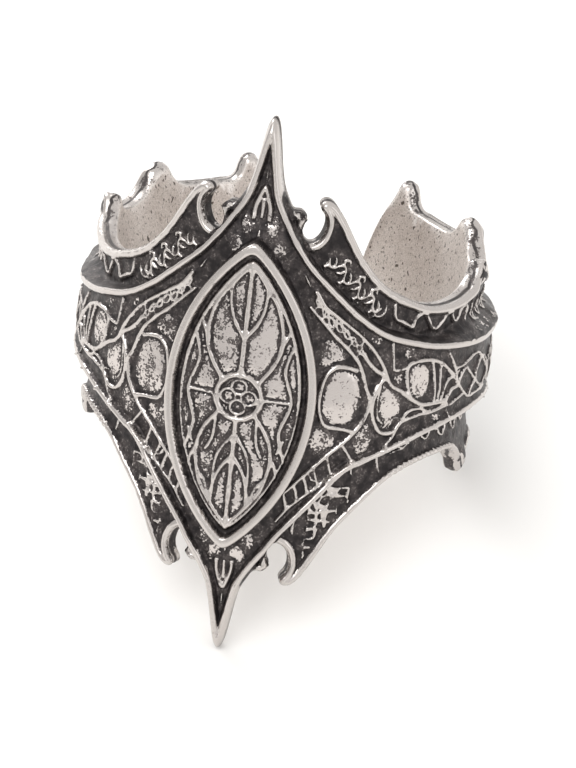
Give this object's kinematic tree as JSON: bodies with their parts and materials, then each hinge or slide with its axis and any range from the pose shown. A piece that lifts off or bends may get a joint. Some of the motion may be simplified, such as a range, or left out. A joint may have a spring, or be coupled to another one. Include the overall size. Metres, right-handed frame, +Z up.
{
  "type": "adjustable ring",
  "caption": "Open, adjustable cast ring with a pointed-oval plaque, a long spike above and below it, a scalloped crown edge and raised tracery.",
  "frame": {"origin": "middle of the footprint of the ring as it lies, on the surface that it rests on", "axes": "+Z up; the plaque faces -Y and leans back; +X to the plaque's right as it is seen; the finger hole runs up and back, 23.5 degrees from +Z"},
  "size_m": [0.023, 0.027, 0.0281],
  "materials": {
    "antiqued_metal": "cast silver-tone alloy, oxidised near-black in the recesses and polished on the raised lines; satin with fine pits inside"
  },
  "bodies": {
    "root": {"ring": "antiqued_metal"}
  },
  "joints": []
}
